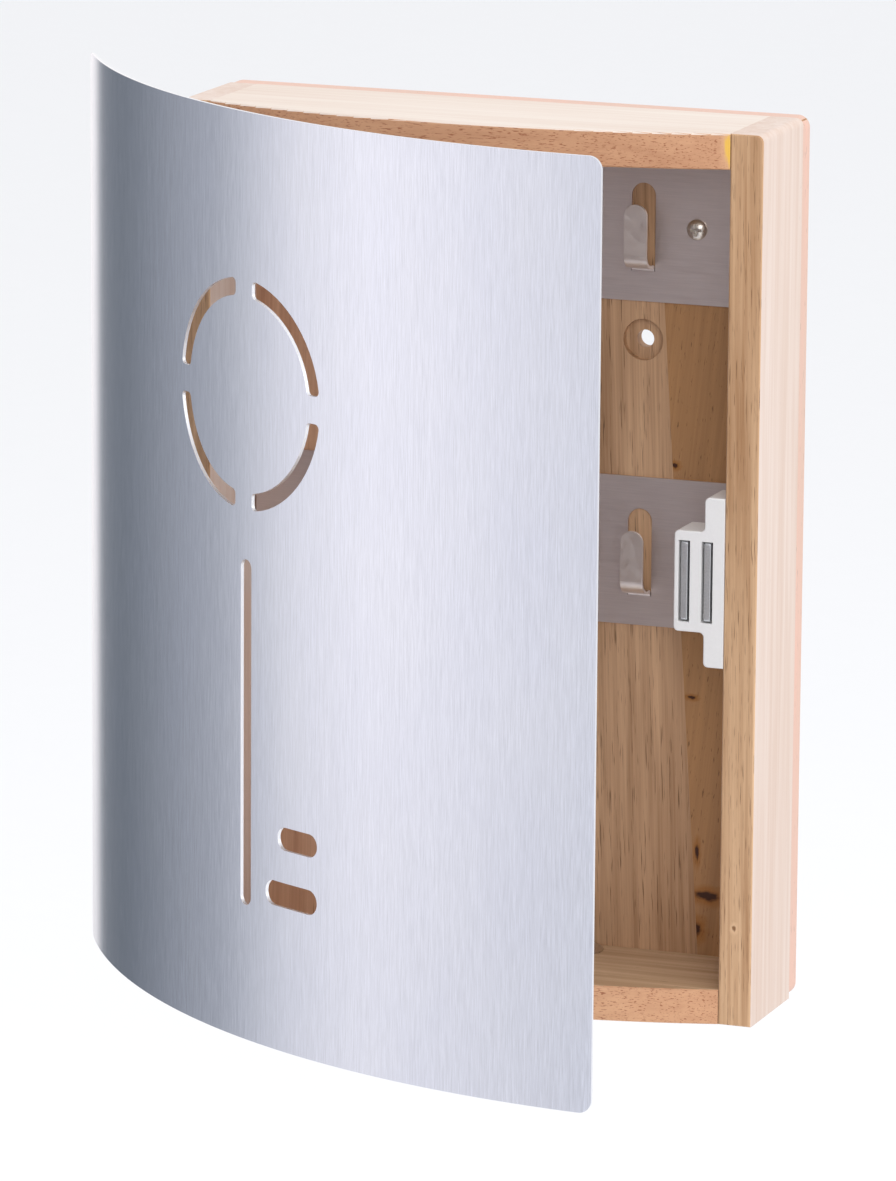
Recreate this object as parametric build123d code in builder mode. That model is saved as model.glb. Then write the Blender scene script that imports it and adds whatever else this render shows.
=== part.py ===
"""Wall-hung key cabinet: a wooden box with a bowed steel door on two side hinges.

Frame: the origin is the middle of the back face, on the wall. +X is to the right
of someone facing the cabinet, +Y goes into the wall and +Z is up. Millimetres.
The door is modelled standing open, and a joint value of 0 is that pose.
"""
from math import asin, cos, degrees, radians, sin, sqrt
import os

from build123d import *

# ---------------------------------------------------------------- box
BOX_WIDTH = 206.0
BOX_HEIGHT = 300.0
SIDE_DEPTH = 41.0
SIDE_THICK = 11.5
BOARD_THICK = 12.0
FRONT_BOW = 15.0          # how far the boards' front arcs stand out in the middle
EDGE_EASE = 0.8           # rounding of the side panels' front edges
TOP_EASE = 2.5            # rounding of the side panels' outer top edges
BOARD_EASE = 0.6          # rounding of the boards' front arcs
BACK_THICK = 7.0
BACK_CORNER = 4.0         # corner radius of the back panel
RIGHT_SEAM_X = 61.0       # glue lines between the staves, at mid height
LEFT_SEAM_X = -38.3
RIGHT_SEAM_LEAN = 20.0    # how far a glue line drifts from bottom to top
LEFT_SEAM_LEAN = -7.0
STAVE_OVERRUN = 5.0       # how far a stave's outline runs past the panel before it is cut

# ---------------------------------------------------------------- wall holes
WALL_HOLE_RADIUS = 3.0
WALL_SINK_RADIUS = 7.0    # counterbore for a wall screw's head
WALL_SINK_DEPTH = 2.5
WALL_HOLE_SPACING = 96.0
WALL_HOLE_DROP = 13.2     # from the upper rail's lower edge to the holes' middle

# ---------------------------------------------------------------- joints in the wood
DOWEL_RADIUS = 3.0
DOWEL_LENGTH = 24.0
DOWEL_IN_SIDE = 7.0
DOWEL_INSET = 12.0        # from the front and from the back panel to a dowel
BACK_SCREW_RADIUS = 1.6
BACK_SCREW_HEAD = 3.4
BACK_SCREW_LENGTH = 25.0
BACK_SCREW_END = 21.0     # from the box's end to the first screw along a side
BACK_SCREW_ROWS = 4       # along each side
BACK_SCREW_BOARD_X = 20.0

# ---------------------------------------------------------------- screw heads
RECESS_REACH = 1.1        # length and width of a cross recess, in head radii
RECESS_WIDTH = 0.26
PAN_RIM = 0.35            # shares of a pan head's height: its upright rim, its recess
PAN_RECESS = 0.65
SINK_RECESS = 0.45        # depth of a countersunk head's recess, in head radii
SCREW_TIP = 1.6           # length of the point, and its end's share of the shank's radius
SCREW_POINT = 0.4

# ---------------------------------------------------------------- hook rails
RAIL_HEIGHT = 50.8
RAIL_THICK = 1.0
RAIL_END_GAP = 0.5
UPPER_RAIL_GAP = 2.0      # below the top board
LOWER_RAIL_Z = 0.0
HOOK_COUNT = 5
HOOK_END_GAP = 19.0       # from a rail screw to the middle of the nearest hook
HOOK_SLOT_WIDTH = 8.4
HOOK_SLOT_TOP = 14.6      # above the rail's middle
HOOK_FOOT = 15.3          # below the rail's middle, where the tongue leaves the sheet
HOOK_WIDTH = 8.0
HOOK_TIP = 8.4            # above the rail's middle
HOOK_FOOT_BEND = 2.0
HOOK_FRONT_BEND = 5.0
HOOK_STRAIGHT = 1.5
HOOK_TIP_FLAT = 0.1       # left between the two rounded corners of a tongue's tip
RAIL_SCREW_END = 24.0     # from a rail's end
RAIL_SCREW_RADIUS = 1.5
RAIL_SCREW_HEAD = 3.5
RAIL_SCREW_HEAD_HEIGHT = 2.2
RAIL_SCREW_LENGTH = 6.0
RAIL_HOLE_RADIUS = 1.8

# ---------------------------------------------------------------- floor screw
FLOOR_SCREW_X = 31.0
FLOOR_SCREW_HEAD = 8.0
FLOOR_SCREW_HEAD_HEIGHT = 2.0
FLOOR_SCREW_RADIUS = 2.0
FLOOR_SCREW_LENGTH = 9.0
FLOOR_SCREW_WALL_GAP = 0.5

# ---------------------------------------------------------------- door
DOOR_RADIUS = 285.7       # outside of the sheet
SHEET_THICK = 1.2
DOOR_SIDE_OVER = 36.94    # closed door beyond the box on each side
DOOR_TOP_OVER = 8.5
DOOR_BOTTOM_OVER = 1.5
DOOR_CORNER = 4.5
DOOR_SIDE_GAP = 3.45      # closed door to the outer front corners of the box
DOOR_OPEN_ANGLE = 32.0    # how far the modelled pose stands open
CUT_OVERRUN = 10.0        # how far a cutting prism runs past what it cuts

# key-shaped cut-outs, from the middle of the sheet
RING_Z = 62.0
RING_RADIUS = 35.5
CUT_WIDTH = 5.8
RING_GAP = 9.0
SHANK_X = 1.6
SHANK_TOP = 7.4
SHANK_LENGTH = 116.5
BIT_RIGHT = 37.8
UPPER_BIT_Z = -82.8
UPPER_BIT_LENGTH = 19.2
UPPER_BIT_HEIGHT = 7.8
LOWER_BIT_Z = -101.9
LOWER_BIT_LENGTH = 25.4
LOWER_BIT_HEIGHT = 8.4
BIT_ROUNDING = 0.49       # corner radius as a share of a bit's height
RING_END_ROUNDING = 0.3   # corner radius of the ring's cuts as a share of their width

# ---------------------------------------------------------------- hinges
HINGE_INSET = 50.0        # from the box's end to the middle of a hinge
PIVOT_BACK = 7.0          # pin to wall
BARREL_SIDE_GAP = 0.1     # barrel to side panel
BARREL_RADIUS = 2.9
PIN_RADIUS = 1.5
PIN_CLEARANCE = 0.05
PIN_HEAD_RADIUS = 2.3
PIN_HEAD_HEIGHT = 0.8
HINGE_HEIGHT = 40.0
KNUCKLE_GAP = 0.3
LEAF_THICK = 1.5
LEAF_WIDTH = 31.0         # from the pin to the leaf's front edge
ARM_THICK = 1.5
ARM_HEIGHT = 19.4
FOOT_HEIGHT = 36.0
FOOT_REACH = 24.0
LEAF_SCREW_RADIUS = 1.5
LEAF_SCREW_HEAD = 2.9
LEAF_SCREW_LENGTH = 9.5
LEAF_SCREW_Z = 13.0
LEAF_SCREW_NEAR = 10.0    # from the pin to the two rows of screws
LEAF_SCREW_FAR = 24.0

# ---------------------------------------------------------------- magnetic catch
CATCH_Z = 0.0
CATCH_DEPTH = 15.0
FLANGE_HEIGHT = 57.2
FLANGE_THICK = 7.0
HOUSING_HEIGHT = 34.0
HOUSING_WIDTH = 17.5
HOUSING_CORNER = 1.6
HOUSING_EASE = 0.5        # rounding of the housing's front edges
POLE_THICK = 2.3
POLE_HEIGHT = 26.6
POLE_DEPTH = 12.0
POLE_WINDOW = 4.0
POLE_WINDOW_HEIGHT = 27.4
OUTER_POLE_X = 6.0        # middle of each pole plate, from the side panel
INNER_POLE_X = 14.0
POLE_RECESS = 0.3
POLE_CORNER = 0.9
MAGNET_COVER = 2.5
MAGNET_DEPTH = 8.0
MAGNET_HEIGHT = 22.0
CATCH_SCREW_Z = 23.4
CATCH_SCREW_RADIUS = 1.5
CATCH_SCREW_HEAD = 3.2
CATCH_SCREW_HEAD_HEIGHT = 2.0
CATCH_SCREW_LENGTH = 15.5
CATCH_SLOT_LENGTH = 7.0
CATCH_SLOT_PLAY = 0.2     # slot to screw, on each side

# ---------------------------------------------------------------- strike on the door
STRIKE_GAP = 0.35
STRIKE_THICK = 1.2
STRIKE_WIDTH = 15.0
STRIKE_HEIGHT = 36.0
STRIKE_FOOT = 9.0

# ---------------------------------------------------------------- worked out
half_width = BOX_WIDTH / 2
half_height = BOX_HEIGHT / 2
inner_half = half_width - SIDE_THICK
front_y = -(SIDE_DEPTH + BACK_THICK)
panel_front_y = -BACK_THICK
board_middle_z = half_height - BOARD_THICK / 2
side_middle_x = half_width - SIDE_THICK / 2
floor_z = -half_height + BOARD_THICK

rail_width = 2 * (inner_half - RAIL_END_GAP)
rail_front_y = panel_front_y - RAIL_THICK
rail_screw_x = rail_width / 2 - RAIL_SCREW_END
upper_rail_z = half_height - BOARD_THICK - UPPER_RAIL_GAP - RAIL_HEIGHT / 2
rail_screw_places = [
    (side * rail_screw_x, z) for z in (LOWER_RAIL_Z, upper_rail_z) for side in (-1, 1)
]
last_hook_x = rail_screw_x - HOOK_END_GAP
hook_places = [last_hook_x * (2 * i / (HOOK_COUNT - 1) - 1) for i in range(HOOK_COUNT)]
slot_arc_height = HOOK_SLOT_TOP - HOOK_SLOT_WIDTH / 2
wall_hole_z = upper_rail_z - RAIL_HEIGHT / 2 - WALL_HOLE_DROP
wall_holes = [(side * WALL_HOLE_SPACING / 2, wall_hole_z) for side in (-1, 1)]

dowel_rows_y = (front_y + DOWEL_INSET, panel_front_y - DOWEL_INSET)
last_back_screw_z = half_height - BACK_SCREW_END
back_screw_rows = [
    last_back_screw_z * (2 * i / (BACK_SCREW_ROWS - 1) - 1) for i in range(BACK_SCREW_ROWS)
]
back_screw_places = [(side * side_middle_x, z) for side in (-1, 1) for z in back_screw_rows]
back_screw_places += [
    (side * BACK_SCREW_BOARD_X, end * board_middle_z) for side in (-1, 1) for end in (-1, 1)
]
floor_screw_y = panel_front_y - FLOOR_SCREW_WALL_GAP - FLOOR_SCREW_HEAD

door_height = BOX_HEIGHT + DOOR_TOP_OVER + DOOR_BOTTOM_OVER
door_middle_z = (DOOR_TOP_OVER - DOOR_BOTTOM_OVER) / 2
sheet_inner = DOOR_RADIUS - SHEET_THICK
arc_centre_y = front_y + sqrt((sheet_inner - DOOR_SIDE_GAP) ** 2 - half_width**2)
door_half_angle = degrees(asin((half_width + DOOR_SIDE_OVER) / DOOR_RADIUS))
pivot_x = -(half_width + BARREL_RADIUS + BARREL_SIDE_GAP)
pivot_y = -PIVOT_BACK
hinge_height_z = half_height - HINGE_INSET

catch_screw_y = front_y + CATCH_DEPTH / 2
magnet_x = inner_half - (INNER_POLE_X + OUTER_POLE_X) / 2
magnet_front_y = front_y + MAGNET_COVER

# The door's pieces are drawn about the middle of the sheet's arc, as if closed,
# on planes that are already swung open about the hinge pins.
swing = radians(-DOOR_OPEN_ANGLE)
to_centre = (-pivot_x, arc_centre_y - pivot_y)
door_centre = (
    pivot_x + to_centre[0] * cos(swing) - to_centre[1] * sin(swing),
    pivot_y + to_centre[0] * sin(swing) + to_centre[1] * cos(swing),
    0.0,
)
door_plan = Plane(origin=door_centre, x_dir=(cos(swing), sin(swing), 0), z_dir=(0, 0, 1))
door_front = Plane(
    origin=door_centre, x_dir=(cos(swing), sin(swing), 0), z_dir=(sin(swing), -cos(swing), 0)
)
pin_in_door = (pivot_x, pivot_y - arc_centre_y)


def facing_front(x, y, z):
    """A plane at a point, looking out of the cabinet's front."""
    return Plane(origin=(x, y, z), x_dir=(1, 0, 0), z_dir=(0, -1, 0))


def facing_back(x, y, z):
    """A plane at a point, looking at the wall."""
    return Plane(origin=(x, y, z), x_dir=(-1, 0, 0), z_dir=(0, 1, 0))


def facing_left(x, y, z):
    """A plane at a point, looking to the left."""
    return Plane(origin=(x, y, z), x_dir=(0, -1, 0), z_dir=(-1, 0, 0))


def write(builder, name):
    """Label one finished piece and write its file."""
    builder.part.label = name
    export_step(builder.part, f"parts/{name}.step")


def pan_head_screw(radius, length, head_radius, head_height):
    """A cross-recess screw with a domed head. Its head sits on z = 0."""
    rim = head_height * PAN_RIM
    dome = (head_radius**2 + (head_height - rim) ** 2) / (2 * (head_height - rim))
    half = asin(head_radius / dome) / 2
    crown = head_height - dome * (1 - cos(half))
    with BuildPart() as screw:
        with BuildSketch(Plane.XZ):
            with BuildLine():
                Line((0, -length), (0, head_height))
                Line((0, -length), (radius * SCREW_POINT, -length))
                Line((radius * SCREW_POINT, -length), (radius, -length + SCREW_TIP))
                Line((radius, -length + SCREW_TIP), (radius, 0))
                Line((radius, 0), (head_radius, 0))
                Line((head_radius, 0), (head_radius, rim))
                ThreePointArc((head_radius, rim), (dome * sin(half), crown), (0, head_height))
            make_face()
        revolve(axis=Axis.Z)
        with BuildSketch(Plane.XY.offset(head_height)):
            Rectangle(head_radius * RECESS_REACH, head_radius * RECESS_WIDTH)
            Rectangle(head_radius * RECESS_WIDTH, head_radius * RECESS_REACH)
        extrude(amount=-head_height * PAN_RECESS, mode=Mode.SUBTRACT)
    return screw.part


def countersunk_screw(radius, length, head_radius):
    """A cross-recess screw with a 90 degree countersunk head, flush with z = 0."""
    with BuildPart() as screw:
        with BuildSketch(Plane.XZ):
            with BuildLine():
                Polyline(
                    (0, 0),
                    (head_radius, 0),
                    (radius, radius - head_radius),
                    (radius, -length + SCREW_TIP),
                    (radius * SCREW_POINT, -length),
                    (0, -length),
                    close=True,
                )
            make_face()
        revolve(axis=Axis.Z)
        with BuildSketch(Plane.XY):
            Rectangle(head_radius * RECESS_REACH, head_radius * RECESS_WIDTH)
            Rectangle(head_radius * RECESS_WIDTH, head_radius * RECESS_REACH)
        extrude(amount=-head_radius * SINK_RECESS, mode=Mode.SUBTRACT)
    return screw.part


def seam_x(middle_x, lean, z):
    """Where a glue line stands at a height."""
    return middle_x - lean * z / BOX_HEIGHT


os.makedirs("parts", exist_ok=True)

# ---------------------------------------------------------------- side panels
for name, side in (("left_side_panel", -1), ("right_side_panel", 1)):
    with BuildPart() as side_panel:
        with BuildSketch(Plane.XY.offset(-half_height)):
            with Locations((side * side_middle_x, (front_y + panel_front_y) / 2)):
                Rectangle(SIDE_THICK, SIDE_DEPTH)
        extrude(amount=BOX_HEIGHT)
        top_edges = side_panel.faces().sort_by(Axis.Z)[-1].edges().filter_by(Axis.Y)
        fillet(top_edges.sort_by(Axis.X)[-1 if side > 0 else 0], radius=TOP_EASE)
        fillet(side_panel.faces().sort_by(Axis.Y)[0].edges(), radius=EDGE_EASE)
        for y in dowel_rows_y:
            for end in (-1, 1):
                inward = Plane(
                    origin=(side * inner_half, y, end * board_middle_z), z_dir=(-side, 0, 0)
                )
                with Locations(inward):
                    Hole(DOWEL_RADIUS, DOWEL_IN_SIDE)
        for z in back_screw_rows:
            with Locations(facing_back(side * side_middle_x, panel_front_y, z)):
                Hole(BACK_SCREW_RADIUS, BACK_SCREW_LENGTH - BACK_THICK)
        if side > 0:
            for end in (-1, 1):
                with Locations(facing_left(inner_half, catch_screw_y, CATCH_Z + end * CATCH_SCREW_Z)):
                    Hole(CATCH_SCREW_RADIUS, CATCH_SCREW_LENGTH - FLANGE_THICK)
        else:
            for hinge in (-1, 1):
                for row in (-1, 1):
                    for reach in (LEAF_SCREW_NEAR, LEAF_SCREW_FAR):
                        z = hinge * hinge_height_z + row * LEAF_SCREW_Z
                        with Locations(facing_left(-half_width, pivot_y - reach, z)):
                            Hole(LEAF_SCREW_RADIUS, LEAF_SCREW_LENGTH - LEAF_THICK)
    write(side_panel, name)

# ---------------------------------------------------------------- top and bottom boards
for name, end in (("top_board", 1), ("bottom_board", -1)):
    with BuildPart() as board:
        with BuildSketch(Plane.XY.offset(end * board_middle_z - BOARD_THICK / 2)):
            with BuildLine():
                ThreePointArc((-inner_half, front_y), (0, front_y - FRONT_BOW), (inner_half, front_y))
                Polyline(
                    (inner_half, front_y),
                    (inner_half, panel_front_y),
                    (-inner_half, panel_front_y),
                    (-inner_half, front_y),
                )
            make_face()
        extrude(amount=BOARD_THICK)
        bowed_edges = board.edges().filter_by(GeomType.CIRCLE)
        fillet(bowed_edges, radius=BOARD_EASE)
        for y in dowel_rows_y:
            for side in (-1, 1):
                outward = Plane(origin=(side * inner_half, y, end * board_middle_z), z_dir=(side, 0, 0))
                with Locations(outward):
                    Hole(DOWEL_RADIUS, DOWEL_LENGTH - DOWEL_IN_SIDE)
        for side in (-1, 1):
            with Locations(facing_back(side * BACK_SCREW_BOARD_X, panel_front_y, end * board_middle_z)):
                Hole(BACK_SCREW_RADIUS, BACK_SCREW_LENGTH - BACK_THICK)
        if end < 0:
            with Locations(Plane(origin=(FLOOR_SCREW_X, floor_screw_y, floor_z), z_dir=(0, 0, 1))):
                Hole(FLOOR_SCREW_RADIUS, FLOOR_SCREW_LENGTH)
    write(board, name)

# ---------------------------------------------------------------- back panel, three glued staves
far = half_height + STAVE_OVERRUN
left_seam = [(seam_x(LEFT_SEAM_X, LEFT_SEAM_LEAN, z), z) for z in (-far, far)]
right_seam = [(seam_x(RIGHT_SEAM_X, RIGHT_SEAM_LEAN, z), z) for z in (-far, far)]
left_edge = [(-half_width - STAVE_OVERRUN, z) for z in (-far, far)]
right_edge = [(half_width + STAVE_OVERRUN, z) for z in (-far, far)]
staves = (
    ("left_back_stave", left_edge, left_seam),
    ("middle_back_stave", left_seam, right_seam),
    ("right_back_stave", right_seam, right_edge),
)
for name, (low_left, high_left), (low_right, high_right) in staves:
    with BuildPart() as stave:
        with BuildSketch(Plane.XZ):
            RectangleRounded(BOX_WIDTH, BOX_HEIGHT, BACK_CORNER)
            with BuildLine():
                Polyline(low_left, low_right, high_right, high_left, close=True)
            make_face(mode=Mode.INTERSECT)
            with Locations(*wall_holes):
                Circle(WALL_HOLE_RADIUS, mode=Mode.SUBTRACT)
        extrude(amount=BACK_THICK)
        for x, z in wall_holes:
            with Locations(facing_front(x, panel_front_y, z)):
                Hole(WALL_SINK_RADIUS, WALL_SINK_DEPTH)
        for x, z in back_screw_places:
            with Locations(facing_back(x, 0, z)):
                CounterSinkHole(BACK_SCREW_RADIUS, BACK_SCREW_HEAD, BACK_THICK, 90)
        for x, z in rail_screw_places:
            with Locations(facing_front(x, panel_front_y, z)):
                Hole(RAIL_SCREW_RADIUS, RAIL_SCREW_LENGTH - RAIL_THICK)
    write(stave, name)

# ---------------------------------------------------------------- dowels and back screws
with BuildPart() as panel_dowels:
    for y in dowel_rows_y:
        for side in (-1, 1):
            for end in (-1, 1):
                outer_x = side * (inner_half + DOWEL_IN_SIDE)
                dowel_end = Plane(origin=(outer_x, y, end * board_middle_z), z_dir=(-side, 0, 0))
                with BuildSketch(dowel_end):
                    Circle(DOWEL_RADIUS)
                extrude(amount=DOWEL_LENGTH)
write(panel_dowels, "panel_dowels")

back_screw = countersunk_screw(BACK_SCREW_RADIUS, BACK_SCREW_LENGTH, BACK_SCREW_HEAD)
with BuildPart() as back_panel_screws:
    for x, z in back_screw_places:
        with Locations(facing_back(x, 0, z)):
            add(back_screw)
write(back_panel_screws, "back_panel_screws")

# ---------------------------------------------------------------- hook rails
rail_middle_y = panel_front_y - RAIL_THICK / 2
half_sheet = RAIL_THICK / 2
foot_centre = (rail_middle_y - HOOK_FOOT_BEND, -HOOK_FOOT)
front_centre = (foot_centre[0] - HOOK_STRAIGHT, -HOOK_FOOT + HOOK_FOOT_BEND + HOOK_FRONT_BEND)
tongue_inner_y = front_centre[0] - HOOK_FRONT_BEND + half_sheet
tongue_outer_y = front_centre[0] - HOOK_FRONT_BEND - half_sheet
with BuildPart() as hook_tongue:
    with BuildSketch(Plane.YZ.offset(-HOOK_WIDTH / 2)):
        with BuildLine():
            CenterArc(foot_centre, HOOK_FOOT_BEND + half_sheet, 0, 90)
            Line(
                (foot_centre[0], foot_centre[1] + HOOK_FOOT_BEND + half_sheet),
                (front_centre[0], foot_centre[1] + HOOK_FOOT_BEND + half_sheet),
            )
            CenterArc(front_centre, HOOK_FRONT_BEND - half_sheet, 180, 90)
            Line((tongue_inner_y, front_centre[1]), (tongue_inner_y, HOOK_TIP))
            Line((tongue_inner_y, HOOK_TIP), (tongue_outer_y, HOOK_TIP))
            Line((tongue_outer_y, HOOK_TIP), (tongue_outer_y, front_centre[1]))
            CenterArc(front_centre, HOOK_FRONT_BEND + half_sheet, 180, 90)
            Line(
                (front_centre[0], foot_centre[1] + HOOK_FOOT_BEND - half_sheet),
                (foot_centre[0], foot_centre[1] + HOOK_FOOT_BEND - half_sheet),
            )
            CenterArc(foot_centre, HOOK_FOOT_BEND - half_sheet, 0, 90)
            Line((rail_middle_y - half_sheet, -HOOK_FOOT), (rail_middle_y + half_sheet, -HOOK_FOOT))
        make_face()
    extrude(amount=HOOK_WIDTH)
    tip_edges = hook_tongue.edges().filter_by(Axis.Y).group_by(Axis.Z)[-1]
    fillet(tip_edges, radius=(HOOK_WIDTH - HOOK_TIP_FLAT) / 2)

for name, rail_z in (("upper_hook_rail", upper_rail_z), ("lower_hook_rail", LOWER_RAIL_Z)):
    with BuildPart() as hook_rail:
        with BuildSketch(facing_front(0, panel_front_y, rail_z)):
            Rectangle(rail_width, RAIL_HEIGHT)
            with Locations(*[(x, (slot_arc_height - HOOK_FOOT) / 2) for x in hook_places]):
                Rectangle(HOOK_SLOT_WIDTH, slot_arc_height + HOOK_FOOT, mode=Mode.SUBTRACT)
            with Locations(*[(x, slot_arc_height) for x in hook_places]):
                Circle(HOOK_SLOT_WIDTH / 2, mode=Mode.SUBTRACT)
            with Locations((-rail_screw_x, 0), (rail_screw_x, 0)):
                Circle(RAIL_HOLE_RADIUS, mode=Mode.SUBTRACT)
        extrude(amount=RAIL_THICK)
        with Locations(*[(x, 0, rail_z) for x in hook_places]):
            add(hook_tongue.part)
    write(hook_rail, name)

rail_screw = pan_head_screw(
    RAIL_SCREW_RADIUS, RAIL_SCREW_LENGTH, RAIL_SCREW_HEAD, RAIL_SCREW_HEAD_HEIGHT
)
with BuildPart() as rail_screws:
    for x, z in rail_screw_places:
        with Locations(facing_front(x, rail_front_y, z)):
            add(rail_screw)
write(rail_screws, "rail_screws")

# ---------------------------------------------------------------- screw in the floor of the box
with BuildPart() as floor_screw:
    with Locations((FLOOR_SCREW_X, floor_screw_y, floor_z)):
        add(
            pan_head_screw(
                FLOOR_SCREW_RADIUS, FLOOR_SCREW_LENGTH, FLOOR_SCREW_HEAD, FLOOR_SCREW_HEAD_HEIGHT
            )
        )
write(floor_screw, "floor_screw")

# ---------------------------------------------------------------- door sheet
with BuildPart() as door_sheet:
    with BuildSketch(door_plan.offset(door_middle_z - door_height / 2)):
        with BuildLine():
            outer = CenterArc((0, 0), DOOR_RADIUS, 270 - door_half_angle, 2 * door_half_angle)
            inner = CenterArc((0, 0), sheet_inner, 270 - door_half_angle, 2 * door_half_angle)
            Line(outer @ 0, inner @ 0)
            Line(outer @ 1, inner @ 1)
        make_face()
    extrude(amount=door_height)
    corner_edges = [e for e in door_sheet.edges() if abs(e.length - SHEET_THICK) < 0.01]
    fillet(corner_edges, radius=DOOR_CORNER)
    with BuildSketch(door_front):
        with Locations((0, RING_Z + door_middle_z)):
            Circle(RING_RADIUS + CUT_WIDTH / 2)
            Circle(RING_RADIUS - CUT_WIDTH / 2, mode=Mode.SUBTRACT)
            Rectangle(3 * RING_RADIUS, RING_GAP, mode=Mode.SUBTRACT)
            Rectangle(RING_GAP, 3 * RING_RADIUS, mode=Mode.SUBTRACT)
    extrude(amount=DOOR_RADIUS + CUT_OVERRUN, mode=Mode.SUBTRACT)
    with BuildSketch(door_front):
        with Locations((SHANK_X, SHANK_TOP - SHANK_LENGTH / 2 + door_middle_z)):
            SlotOverall(SHANK_LENGTH, CUT_WIDTH, rotation=90)
        for z, length, height in (
            (UPPER_BIT_Z, UPPER_BIT_LENGTH, UPPER_BIT_HEIGHT),
            (LOWER_BIT_Z, LOWER_BIT_LENGTH, LOWER_BIT_HEIGHT),
        ):
            with Locations((BIT_RIGHT - length / 2, z + door_middle_z)):
                RectangleRounded(length, height, height * BIT_ROUNDING)
    extrude(amount=DOOR_RADIUS + CUT_OVERRUN, mode=Mode.SUBTRACT)
    near_ring = [
        e
        for e in door_sheet.edges()
        if abs(e.center().Z - RING_Z - door_middle_z) < RING_RADIUS + CUT_WIDTH
    ]
    cut_corners = [e for e in near_ring if e.length < CUT_WIDTH / 2]
    fillet(cut_corners, radius=CUT_WIDTH * RING_END_ROUNDING)
write(door_sheet, "door_sheet")

# ---------------------------------------------------------------- hinges
knuckle_low = ARM_HEIGHT / 2 + KNUCKLE_GAP
leaf_front_y = pivot_y - LEAF_WIDTH
leaf_back_y = pivot_y - BARREL_RADIUS - 2 * KNUCKLE_GAP
arm_left = pin_in_door[0] - BARREL_RADIUS
arm_right = arm_left + ARM_THICK
leaf_screw = countersunk_screw(LEAF_SCREW_RADIUS, LEAF_SCREW_LENGTH, LEAF_SCREW_HEAD)

for place, hinge in (("upper", 1), ("lower", -1)):
    hinge_z = hinge * hinge_height_z
    with BuildPart() as hinge_leaf:
        with BuildSketch(Plane.XY.offset(hinge_z - HINGE_HEIGHT / 2)):
            with Locations((-half_width - LEAF_THICK / 2, (leaf_front_y + leaf_back_y) / 2)):
                Rectangle(LEAF_THICK, leaf_back_y - leaf_front_y)
        extrude(amount=HINGE_HEIGHT)
        for low in (hinge_z - HINGE_HEIGHT / 2, hinge_z + knuckle_low):
            with BuildSketch(Plane.XY.offset(low)):
                with Locations((-half_width - LEAF_THICK / 2, (leaf_back_y + pivot_y) / 2)):
                    Rectangle(LEAF_THICK, pivot_y - leaf_back_y)
                with Locations((pivot_x, pivot_y)):
                    Circle(BARREL_RADIUS)
                    Circle(PIN_RADIUS, mode=Mode.SUBTRACT)
            extrude(amount=HINGE_HEIGHT / 2 - knuckle_low)
        for row in (-1, 1):
            for reach in (LEAF_SCREW_NEAR, LEAF_SCREW_FAR):
                screw_z = hinge_z + row * LEAF_SCREW_Z
                with Locations(facing_left(-half_width - LEAF_THICK, pivot_y - reach, screw_z)):
                    CounterSinkHole(LEAF_SCREW_RADIUS, LEAF_SCREW_HEAD, LEAF_THICK, 90)
    write(hinge_leaf, f"{place}_hinge_leaf")

    with BuildPart() as hinge_pin:
        with BuildSketch(Plane.XY.offset(hinge_z - HINGE_HEIGHT / 2)):
            with Locations((pivot_x, pivot_y)):
                Circle(PIN_RADIUS)
        extrude(amount=HINGE_HEIGHT)
        for low in (hinge_z - HINGE_HEIGHT / 2 - PIN_HEAD_HEIGHT, hinge_z + HINGE_HEIGHT / 2):
            with BuildSketch(Plane.XY.offset(low)):
                with Locations((pivot_x, pivot_y)):
                    Circle(PIN_HEAD_RADIUS)
            extrude(amount=PIN_HEAD_HEIGHT)
    write(hinge_pin, f"{place}_hinge_pin")

    with BuildPart() as hinge_arm:
        with BuildSketch(door_plan.offset(hinge_z - ARM_HEIGHT / 2)):
            with Locations(((arm_left + arm_right) / 2, pin_in_door[1] - sheet_inner / 2)):
                Rectangle(ARM_THICK, sheet_inner)
            Circle(sheet_inner, mode=Mode.INTERSECT)
            with Locations(pin_in_door):
                Circle(BARREL_RADIUS)
                Circle(PIN_RADIUS + PIN_CLEARANCE, mode=Mode.SUBTRACT)
        extrude(amount=ARM_HEIGHT)
        with BuildSketch(door_plan.offset(hinge_z - FOOT_HEIGHT / 2)):
            Circle(sheet_inner)
            Circle(sheet_inner - ARM_THICK, mode=Mode.SUBTRACT)
            with Locations((arm_right - FOOT_REACH / 2, -sheet_inner)):
                Rectangle(FOOT_REACH, sheet_inner, mode=Mode.INTERSECT)
        extrude(amount=FOOT_HEIGHT)
    write(hinge_arm, f"{place}_hinge_arm")

with BuildPart() as hinge_screws:
    for hinge in (-1, 1):
        for row in (-1, 1):
            for reach in (LEAF_SCREW_NEAR, LEAF_SCREW_FAR):
                screw_z = hinge * hinge_height_z + row * LEAF_SCREW_Z
                with Locations(facing_left(-half_width - LEAF_THICK, pivot_y - reach, screw_z)):
                    add(leaf_screw)
write(hinge_screws, "hinge_screws")

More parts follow.
